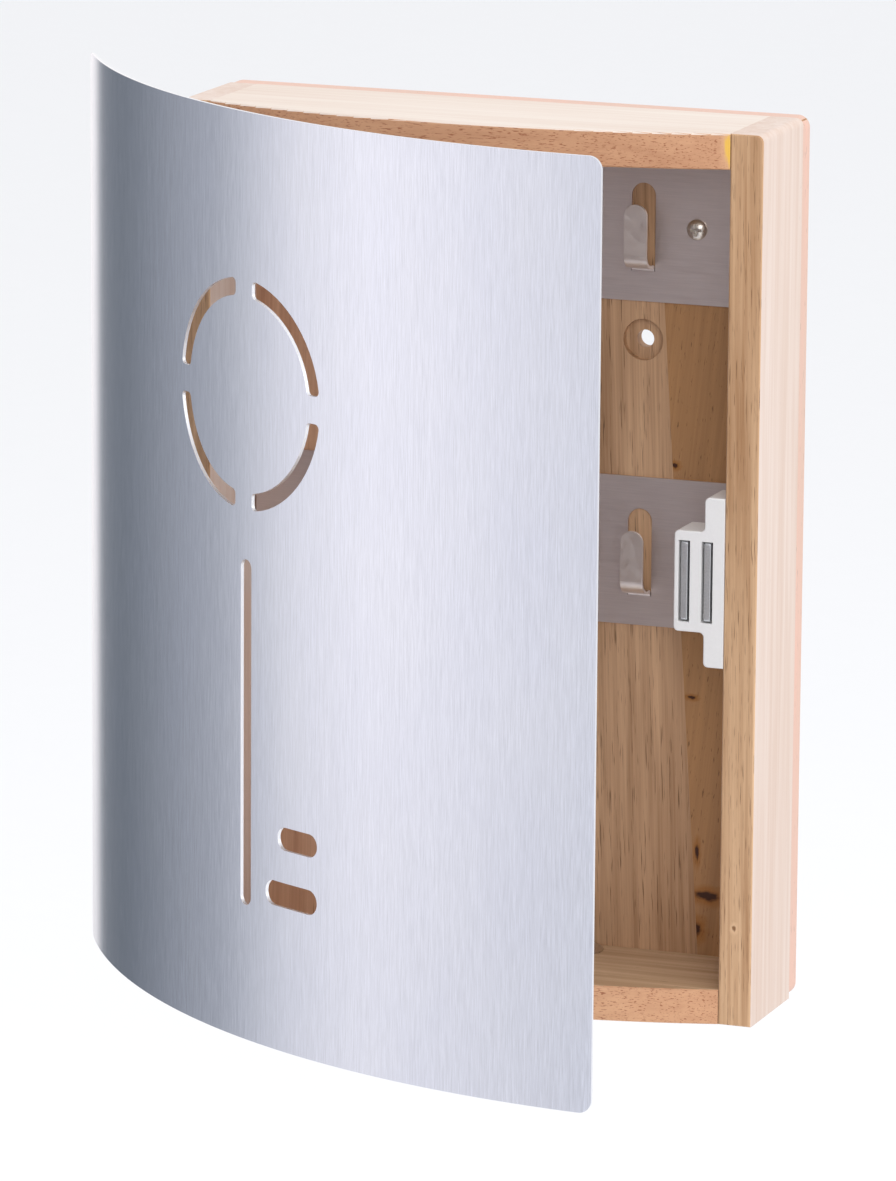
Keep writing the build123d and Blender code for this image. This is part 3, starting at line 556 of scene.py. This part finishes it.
def rolled_shading(mesh, centre):
    """Shading directions of the rolled sheet, one for each point.

    A point on one of the two rolled faces takes the direction of its radius, a point
    only on cut walls takes the mean of those walls, and a point inside a softened
    edge takes the mean of all its faces.
    """
    points = np.array([v.co for v in mesh.vertices])
    radial = np.zeros_like(points)
    radial[:, :2] = points[:, :2] - centre
    radial /= np.linalg.norm(radial, axis=1)[:, None]
    on_sheet, on_wall, on_edge = (np.zeros_like(points) for _ in range(3))
    for face in mesh.polygons:
        around = list(face.vertices)
        towards = np.array(face.normal)
        lean = float(towards @ radial[around].mean(axis=0))
        if abs(lean) > 0.998:
            on_sheet[around] += radial[around] * math.copysign(1.0, lean)
        elif abs(lean) < 0.04:
            on_wall[around] += towards * face.area
        else:
            on_edge[around] += towards * face.area
    chosen = np.where(np.any(on_wall, axis=1)[:, None], on_wall, on_edge)
    chosen = np.where(np.any(on_sheet, axis=1)[:, None], on_sheet, chosen)
    return chosen / np.maximum(np.linalg.norm(chosen, axis=1), 1e-9)[:, None]


# ---------------------------------------------------------------- operators
class CabinetOperator(bpy.types.Operator):
    """Shared options of the cabinet's operators."""

    bl_options = {"REGISTER", "UNDO"}


class KEYCABINET_OT_wooden_box(CabinetOperator):
    """Side panels and bowed boards of rubberwood with eased edges"""

    bl_idname = "keycabinet.wooden_box"
    bl_label = "Wooden Box"

    def execute(self, context):
        wood = context.scene.key_cabinet_wood
        # Painted light, in part: this outer face wood is paler than the fronts and boards, partly its
        # own tone and partly standing in for strong light.
        side_face = planed_wood("planed_rubberwood_side_face", wood.face, wood.face_streak, seed=1.0,
                                streak=0.75, fleck_level=0.74)
        side_front = planed_wood(
            "planed_rubberwood_side_front", wood.front, wood.front_streak, seed=2.0, streak=0.8,
            lean=0.6, fleck_size=(0.42, 12.0), fleck_level=0.6, knots=(SIDE_FRONT_PIN_KNOT,),
            knot=wood.stave_streak, rim=wood.front,
        )
        for node in ("left_side_panel", "right_side_panel"):
            finished_piece(node, CABINET_BODY, (side_face, side_front), wood.ease,
                           finish_of=lambda normals, centres: normals[:, 1] < -FACING)
        board_face = planed_wood("planed_rubberwood_board_face", wood.board, wood.board_streak,
                                 grain="X", seed=3.0, streak=0.8, fleck_level=0.68)
        bow_front = planed_wood("sanded_rubberwood_bowed_front", wood.bow, wood.bow_fleck, grain="X",
                                fleck=wood.bow_fleck, fleck_size=(0.36, 3.2), fleck_level=0.585,
                                seed=4.0, streak=0.26, knots=(GLUE_BEAD,),
                                knot=wood.glue, rim=wood.bow)
        # Painted light: upward faces of the top board get this paler copy of the board wood, standing in
        # for strong light from above.
        painted_top_light = planed_wood("bleached_rubberwood_board_cover", wood.painted_top_light, wood.face_streak,
                            grain="X", seed=9.0, streak=0.5, fleck_level=0.74)
        for node in ("top_board", "bottom_board"):
            finished_piece(
                node, CABINET_BODY, (board_face, bow_front, painted_top_light), wood.ease,
                finish_of=lambda normals, centres: (normals[:, 1] < -FACING)
                + 2 * ((normals[:, 2] > FACING) & (centres[:, 2] > 0)),
            )
        return {"FINISHED"}


class KEYCABINET_OT_back_panel(CabinetOperator):
    """Back panel of three glued staves, one of them with knots"""

    bl_idname = "keycabinet.back_panel"
    bl_label = "Back Panel"

    def execute(self, context):
        wood = context.scene.key_cabinet_wood
        edge = planed_wood("planed_rubberwood_panel_edge", wood.edge, wood.face_streak, seed=8.0,
                           streak=0.5)
        # Painted light, in part: paler left stave, standing partly for its own wood and partly for light
        # through the gap beside the door.
        pale = planed_wood("planed_rubberwood_pale_stave", wood.pale, wood.bow_fleck, seed=11.0,
                           streak=0.4, lean=-1.5, fleck_size=(0.5, 18.0), fleck_level=0.64)
        stave = planed_wood("planed_rubberwood_stave", wood.stave, wood.stave_streak, seed=5.0,
                            streak=0.65, lean=2.0, fleck_size=(0.42, 14.0), fleck_level=0.62)
        knotty = planed_wood("planed_rubberwood_knotty_stave", wood.knotty, wood.stave_streak,
                             seed=6.0, streak=0.5, lean=-6.0, fleck_size=(0.45, 4.0),
                             fleck_level=0.65, knots=STAVE_KNOTS, knot=wood.knot, rim=wood.amber)
        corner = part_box("right_back_stave")[1]
        half_wide, half_high = corner.x - 1 * MM, corner.z - 1 * MM
        for node, face in (("left_back_stave", pale), ("middle_back_stave", stave),
                           ("right_back_stave", knotty)):
            finished_piece(
                node, CABINET_BODY, (face, edge), wood.seam,
                finish_of=lambda normals, centres: (np.abs(normals[:, 1]) < FACING)
                & ((np.abs(centres[:, 0]) > half_wide) | (np.abs(centres[:, 2]) > half_high)),
            )
        return {"FINISHED"}


class KEYCABINET_OT_joinery(CabinetOperator):
    """Beech dowels that join the boards to the side panels"""

    bl_idname = "keycabinet.joinery"
    bl_label = "Dowels"

    def execute(self, context):
        wood = context.scene.key_cabinet_wood
        beech = planed_wood("turned_beech_dowel", wood.board, wood.bow_fleck, grain="X", streak=0.3,
                            seed=7.0)
        refinish("panel_dowels", beech)
        return {"FINISHED"}


class KEYCABINET_OT_hook_rails(CabinetOperator):
    """Two punched and brushed hook rails with bent tongues"""

    bl_idname = "keycabinet.hook_rails"
    bl_label = "Hook Rails"

    def execute(self, context):
        steel = context.scene.key_cabinet_steel
        brushed = brushed_stainless("brushed_stainless_hook_rail", steel.rail, brush="X",
                                    line=0.3 * MM, roughness=0.42, contrast=0.08)
        # Painted light: a slightly lighter, unbrushed copy of the rail steel for the tongues, standing
        # in for the light they catch.
        bent = plated_metal("tumbled_stainless_tongue", steel.tongue, 0.45, mottle_mm=3.0, wear=0.05)
        for node in ("upper_hook_rail", "lower_hook_rail"):
            sheet_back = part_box(node)[1].y
            finished_piece(
                node, CABINET_BODY, (brushed, bent), steel.rail_edge,
                finish_of=lambda normals, centres: centres[:, 1] < sheet_back - 1.5 * MM,
            )
        return {"FINISHED"}


class KEYCABINET_OT_screws(CabinetOperator):
    """Nickel plated cross-recess screws of every group"""

    bl_idname = "keycabinet.screws"
    bl_label = "Screws"

    def execute(self, context):
        steel = context.scene.key_cabinet_steel
        nickel = plated_metal("nickel_plated_screw", steel.screw, 0.3, mottle_mm=4.0, wear=0.05)
        for node in ("rail_screws", "floor_screw", "hinge_screws", "catch_screws",
                     "back_panel_screws"):
            finished_piece(node, CABINET_BODY, (nickel,), steel.screw_edge)
        return {"FINISHED"}


class KEYCABINET_OT_door_sheet(CabinetOperator):
    """Rolled and brushed door sheet with its key-shaped cut-outs"""

    bl_idname = "keycabinet.door_sheet"
    bl_label = "Door Sheet"

    def execute(self, context):
        steel = context.scene.key_cabinet_steel
        brushed = brushed_stainless("brushed_stainless_door_sheet", steel.door, line=steel.brush,
                                    roughness=0.17, contrast=0.13)
        # Painted highlight, in part: cut walls brighter than the sheet, drawn as a thin bright line
        # round each cut-out.
        cut = plated_metal("laser_cut_stainless_edge", steel.cut, 0.42, mottle_mm=0.5)
        sheet, centre = rolled_sheet()
        soften_sharp_edges(sheet, steel.sheet_edge)
        finished_piece("door_sheet", DOOR_BODY, (brushed, cut), joined=sheet,
                       finish_of=lambda normals, centres: off_sheet(normals, centres, centre),
                       shade_of=lambda mesh: rolled_shading(mesh, centre))
        return {"FINISHED"}


class KEYCABINET_OT_hinges(CabinetOperator):
    """Zinc plated hinges with their pins, and the strike plate"""

    bl_idname = "keycabinet.hinges"
    bl_label = "Hinges and Strike"

    def execute(self, context):
        steel = context.scene.key_cabinet_steel
        zinc = plated_metal("zinc_plated_pressed_steel", steel.zinc, 0.34, mottle_mm=2.5)
        for place in ("upper", "lower"):
            for part, body in (("leaf", CABINET_BODY), ("pin", CABINET_BODY), ("arm", DOOR_BODY)):
                finished_piece(f"{place}_hinge_{part}", body, (zinc,), steel.rail_edge)
        finished_piece("strike_plate", DOOR_BODY, (zinc,), steel.rail_edge)
        return {"FINISHED"}


class KEYCABINET_OT_magnetic_catch(CabinetOperator):
    """White catch housing with its magnet and two pole plates"""

    bl_idname = "keycabinet.magnetic_catch"
    bl_label = "Magnetic Catch"

    def execute(self, context):
        catch = context.scene.key_cabinet_catch
        steel = context.scene.key_cabinet_steel
        white = moulded_plastic("moulded_white_plastic", catch.plastic)
        # Painted light: a paler copy of the zinc for the pole plates, with real handling wear mottled
        # in.
        sheared = plated_metal("sheared_zinc_plated_pole", steel.pole, 0.45, mottle_mm=0.7, wear=0.3)
        ferrite = moulded_plastic("sintered_ferrite", catch.ferrite, roughness=0.7, ripple_mm=1.0)
        finished_piece("catch_housing", CABINET_BODY, (white,), catch.edge,
                       segments=3)
        for node in ("inner_pole_plate", "outer_pole_plate"):
            finished_piece(node, CABINET_BODY, (sheared,), steel.rail_edge)
        refinish("catch_magnet", ferrite)
        return {"FINISHED"}


class KEYCABINET_OT_stage(CabinetOperator):
    """Pale floor, soft lights, the graded screen that the door mirrors, and the camera"""

    bl_idname = "keycabinet.stage"
    bl_label = "Stage"

    camera_place = (0.90088, -2.45068, 0.54048)
    camera_turn = (77.90, -0.40, 20.756)     # degrees
    floor_radius = 14.0
    screen_radius, screen_height = 0.85, 1.5
    # Azimuth in degrees and brightness: a pale end, a sharp step to a dark band, and a
    # long rise to the bright middle.
    screen_bands = (
        (-150, 1.25), (-131, 1.25), (-128, 0.28), (-115, 0.24), (-104, 0.34), (-92, 0.49),
        (-84, 0.57), (-67, 1.1), (-53, 1.28), (-39, 1.2), (-27, 1.1), (-12, 0.98),
    )
    screen_rise = ((-0.36, 0.88), (-0.18, 1.0), (-0.03, 1.03))    # height and brightness
    # Name, place, the point it faces, and its width.
    soft_lights = (
        ("key", (1.9, -0.5, 0.7), (0.0, 0.0, 0.0), 1.2),
        ("top", (0.3, -0.2, 1.9), (0.0, -0.05, 0.0), 1.4),
        ("front", (0.9, -1.9, 0.9), (0.05, 0.0, 0.0), 0.9),
    )

    def add_floor(self, stage, level):
        """A round floor: points at radius r and angle a in one plane."""
        rings, spokes = 4, 96
        radius, angle = np.meshgrid(np.linspace(0.0, self.floor_radius, rings + 1)[1:],
                                    np.linspace(0, 2 * math.pi, spokes, endpoint=False),
                                    indexing="ij")
        points = np.column_stack((np.ravel(radius * np.cos(angle)), np.ravel(radius * np.sin(angle)),
                                  np.full(radius.size, level)))
        points = np.vstack((points, (0.0, 0.0, level)))
        index = np.arange(rings * spokes).reshape(rings, spokes)
        after = np.roll(index, -1, axis=1)
        quads = np.stack((index[:-1], index[1:], after[1:], after[:-1]), axis=-1).reshape(-1, 4)
        centre = np.full(spokes, rings * spokes)
        middle = np.column_stack((centre, index[0], after[0]))
        mesh = bpy.data.meshes.new("floor")
        mesh.from_pydata(points.tolist(), [], quads.tolist() + middle.tolist())
        floor = new_object("floor", mesh)
        material, tree, shader = new_material("matt_paper_floor")
        place = add_node(tree, "ShaderNodeTexCoord").outputs["Object"]
        tooth = add_node(tree, "ShaderNodeTexNoise", {"Vector": place, "Scale": 40.0, "Detail": 2.0})
        paper = add_node(tree, "ShaderNodeMix", {
            "Factor": tooth.outputs[0], "A": (*stage.floor, 1.0),
            "B": (*[c * 0.99 for c in stage.floor], 1.0),
        }, data_type="RGBA").outputs["Result"]
        fill_inputs(tree, shader, {"Base Color": paper, "Roughness": 0.9})
        mesh.materials.append(material)

    def add_screen(self, stage, level):
        """A graded screen: an upright arc of radius r from azimuth a to b.

        Its brightness follows the azimuth between named points and falls towards the
        floor, and its dark part is bluer: red is brightness to the power 1.08, and
        blue is brightness to the power 0.93.
        """
        azimuths, values = zip(*self.screen_bands)
        rise_heights, rise_values = zip(*self.screen_rise)
        turns = np.radians(np.arange(azimuths[0], azimuths[-1] + 1.0))
        heights = np.linspace(level + 0.01, level + self.screen_height, 12)
        height, turn = np.meshgrid(heights, turns, indexing="ij")
        points = np.column_stack((np.ravel(self.screen_radius * np.sin(turn)),
                                  np.ravel(-self.screen_radius * np.cos(turn)), np.ravel(height)))
        index = np.arange(height.size).reshape(height.shape)
        quads = np.stack((index[:-1, :-1], index[:-1, 1:], index[1:, 1:], index[1:, :-1]), axis=-1)
        mesh = bpy.data.meshes.new("graded_screen")
        mesh.from_pydata(points.tolist(), [], quads.reshape(-1, 4).tolist())
        screen = new_object("graded_screen", mesh)
        screen.visible_camera = False
        screen.visible_shadow = False
        screen.visible_diffuse = False
        rise = np.interp(height.ravel(), rise_heights, rise_values)
        bright = np.interp(np.degrees(turn).ravel(), azimuths, values) * rise
        glow_colour = np.column_stack((bright**1.08, 0.97 * bright, 0.96 * bright**0.93, bright**0))
        attribute = mesh.attributes.new("glow", "FLOAT_COLOR", "POINT")
        attribute.data.foreach_set("color", glow_colour.ravel())
        material, tree = empty_material("graded_light_screen")
        graded = add_node(tree, "ShaderNodeAttribute", attribute_name="glow").outputs["Color"]
        glow = add_node(tree, "ShaderNodeEmission", {
            "Color": graded, "Strength": stage.screen_strength,
        })
        add_node(tree, "ShaderNodeOutputMaterial", {"Surface": glow.outputs[0]})
        mesh.materials.append(material)

    def add_soft_light(self, name, place, aim, size, power):
        """A square soft light at a place, facing a point."""
        data = bpy.data.lights.new(name, "AREA")
        data.size = size
        data.energy = power
        light = new_object(name, data)
        light.location = place
        away = np.array(place) - np.array(aim)
        flat = math.hypot(away[0], away[1])
        light.rotation_euler = (math.atan2(flat, away[2]), 0.0, math.atan2(away[0], -away[1]))

    def add_camera(self, stage):
        """The scene's camera, with the focal length of the settings."""
        data = bpy.data.cameras.new("camera")
        data.lens = stage.lens
        data.sensor_width = 36.0
        data.clip_start, data.clip_end = 0.05, 50.0
        camera = new_object("camera", data)
        camera.location = self.camera_place
        camera.rotation_euler = [math.radians(turn) for turn in self.camera_turn]
        bpy.context.scene.camera = camera

    def execute(self, context):
        stage = context.scene.key_cabinet_stage
        level = CAD_BOX[0].z - stage.floor_drop
        self.add_floor(stage, level)
        self.add_screen(stage, level)
        for name, place, aim, size in self.soft_lights:
            self.add_soft_light(f"{name}_light", place, aim, size, getattr(stage, f"{name}_power"))
        world = bpy.data.worlds.new("soft_studio")
        world.use_nodes = True
        backdrop = world.node_tree.nodes["Background"]
        backdrop.inputs["Color"].default_value = (0.97, 0.98, 1.0, 1.0)
        backdrop.inputs["Strength"].default_value = stage.ambient
        context.scene.world = world
        context.scene.view_settings.view_transform = "Standard"
        self.add_camera(stage)
        return {"FINISHED"}


# ---------------------------------------------------------------- panel and registration
OPERATORS = (
    KEYCABINET_OT_wooden_box,
    KEYCABINET_OT_back_panel,
    KEYCABINET_OT_joinery,
    KEYCABINET_OT_hook_rails,
    KEYCABINET_OT_screws,
    KEYCABINET_OT_door_sheet,
    KEYCABINET_OT_hinges,
    KEYCABINET_OT_magnetic_catch,
    KEYCABINET_OT_stage,
)


class KEYCABINET_PT_sidebar(bpy.types.Panel):
    """Buttons for each piece and the values that shape them"""

    bl_idname = "KEYCABINET_PT_sidebar"
    bl_label = "Key Cabinet"
    bl_space_type = "VIEW_3D"
    bl_region_type = "UI"
    bl_category = "Key Cabinet"

    def draw(self, context):
        layout = self.layout
        for operator in OPERATORS:
            layout.operator(operator.bl_idname)
        for name, group in GROUPS.items():
            box = layout.box()
            for value in group.__annotations__:
                box.prop(getattr(context.scene, name), value)


def register():
    """Register the settings, the operators and the panel."""
    for name, group in GROUPS.items():
        bpy.utils.register_class(group)
        setattr(bpy.types.Scene, name, bpy.props.PointerProperty(type=group))
    for operator in OPERATORS:
        bpy.utils.register_class(operator)
    bpy.utils.register_class(KEYCABINET_PT_sidebar)


def unregister():
    """Take the panel, the operators and the settings away again."""
    bpy.utils.unregister_class(KEYCABINET_PT_sidebar)
    for operator in reversed(OPERATORS):
        bpy.utils.unregister_class(operator)
    for name, group in GROUPS.items():
        delattr(bpy.types.Scene, name)
        bpy.utils.unregister_class(group)


def main():
    """Build every piece in order."""
    register()
    for operator in OPERATORS:
        group, name = operator.bl_idname.split(".")
        getattr(getattr(bpy.ops, group), name)()


if __name__ == "__main__":
    main()
